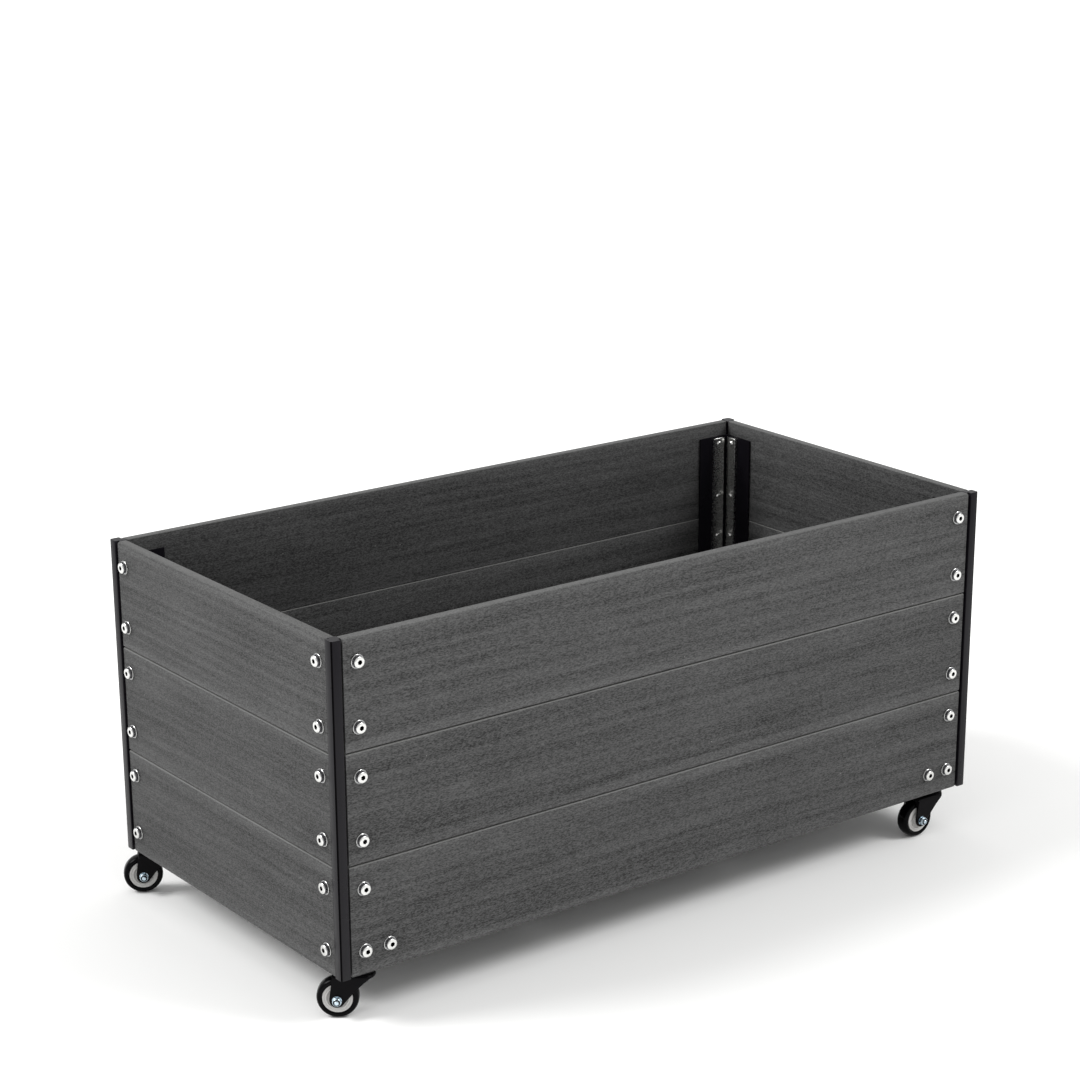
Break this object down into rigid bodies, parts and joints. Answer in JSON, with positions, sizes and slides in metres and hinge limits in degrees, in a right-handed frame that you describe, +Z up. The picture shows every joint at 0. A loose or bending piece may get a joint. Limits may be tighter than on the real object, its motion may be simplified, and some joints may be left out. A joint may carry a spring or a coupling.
{
  "type": "rolling planter box",
  "caption": "Rectangular open-top planter box of horizontal composite boards bolted to corner posts, standing on small swivel casters.",
  "frame": {"origin": "middle of the underside: the floor plane under the wheels, below the centre of the box", "axes": "+X along the long side, +Y from the front side to the back side, +Z up"},
  "size_m": [1.0127, 0.5151, 0.472],
  "materials": {
    "board": "dark grey wood-plastic composite with a fine brushed grain along the board",
    "floor_board": null,
    "post": "anthracite powder coat on an aluminium extrusion",
    "bracket": "black powder coat on folded steel",
    "caster_steel": "satin black paint on pressed steel",
    "hardware": "bright zinc plate",
    "wheel_hub": "light grey moulded plastic",
    "tyre": "smooth black tread with a soft shine"
  },
  "bodies": {
    "planter": {"front_plank_bottom": "board", "front_plank_middle": "board", "front_plank_top": "board", "right_plank_bottom": "board", "right_plank_middle": "board", "right_plank_top": "board", "back_plank_bottom": "board", "back_plank_middle": "board", "back_plank_top": "board", "left_plank_bottom": "board", "left_plank_middle": "board", "left_plank_top": "board", "front_bolts_left": "hardware", "front_bolts_right": "hardware", "right_bolts_left": "hardware", "right_bolts_right": "hardware", "back_bolts_left": "hardware", "back_bolts_right": "hardware", "left_bolts_left": "hardware", "left_bolts_right": "hardware", "post_front_left": "post", "post_front_right": "post", "post_back_left": "post", "post_back_right": "post", "pan_front_left": "bracket", "pan_front_right": "bracket", "pan_back_left": "bracket", "pan_back_right": "bracket", "front_rail": "bracket", "back_rail": "bracket", "floor_panel_1": "floor_board", "floor_panel_2": "floor_board", "floor_panel_3": "floor_board", "caster_plate_front_left": "caster_steel", "caster_plate_front_right": "caster_steel", "caster_plate_back_left": "caster_steel", "caster_plate_back_right": "caster_steel"},
    "swivel_front_left": {"caster_fork_front_left": "caster_steel", "swivel_race_front_left": "hardware", "axle_bolt_front_left": "hardware"},
    "wheel_front_left": {"wheel_hub_front_left": "wheel_hub", "tyre_front_left": "tyre"},
    "swivel_front_right": {"caster_fork_front_right": "caster_steel", "swivel_race_front_right": "hardware", "axle_bolt_front_right": "hardware"},
    "wheel_front_right": {"wheel_hub_front_right": "wheel_hub", "tyre_front_right": "tyre"},
    "swivel_back_left": {"caster_fork_back_left": "caster_steel", "swivel_race_back_left": "hardware", "axle_bolt_back_left": "hardware"},
    "wheel_back_left": {"wheel_hub_back_left": "wheel_hub", "tyre_back_left": "tyre"},
    "swivel_back_right": {"caster_fork_back_right": "caster_steel", "swivel_race_back_right": "hardware", "axle_bolt_back_right": "hardware"},
    "wheel_back_right": {"wheel_hub_back_right": "wheel_hub", "tyre_back_right": "tyre"}
  },
  "joints": [
    {"name": "caster_swivel_front_left", "type": "hinge", "parent": "planter", "child": "swivel_front_left", "pos_m": [-0.458, -0.229, 0.062], "axis": [0, 0, 1], "continuous": true},
    {"name": "wheel_spin_front_left", "type": "hinge", "parent": "swivel_front_left", "child": "wheel_front_left", "pos_m": [-0.48085, -0.21115, 0.025], "axis": [-0.6157, -0.788, 0], "continuous": true},
    {"name": "caster_swivel_front_right", "type": "hinge", "parent": "planter", "child": "swivel_front_right", "pos_m": [0.458, -0.229, 0.062], "axis": [0, 0, 1], "continuous": true},
    {"name": "wheel_spin_front_right", "type": "hinge", "parent": "swivel_front_right", "child": "wheel_front_right", "pos_m": [0.429, -0.229, 0.025], "axis": [0, -1, 0], "continuous": true},
    {"name": "caster_swivel_back_left", "type": "hinge", "parent": "planter", "child": "swivel_back_left", "pos_m": [-0.458, 0.229, 0.062], "axis": [0, 0, 1], "continuous": true},
    {"name": "wheel_spin_back_left", "type": "hinge", "parent": "swivel_back_left", "child": "wheel_back_left", "pos_m": [-0.48384, 0.24217, 0.025], "axis": [-0.454, -0.891, 0], "continuous": true},
    {"name": "caster_swivel_back_right", "type": "hinge", "parent": "planter", "child": "swivel_back_right", "pos_m": [0.458, 0.229, 0.062], "axis": [0, 0, 1], "continuous": true},
    {"name": "wheel_spin_back_right", "type": "hinge", "parent": "swivel_back_right", "child": "wheel_back_right", "pos_m": [0.43075, 0.23892, 0.025], "axis": [-0.342, -0.9397, 0], "continuous": true}
  ]
}
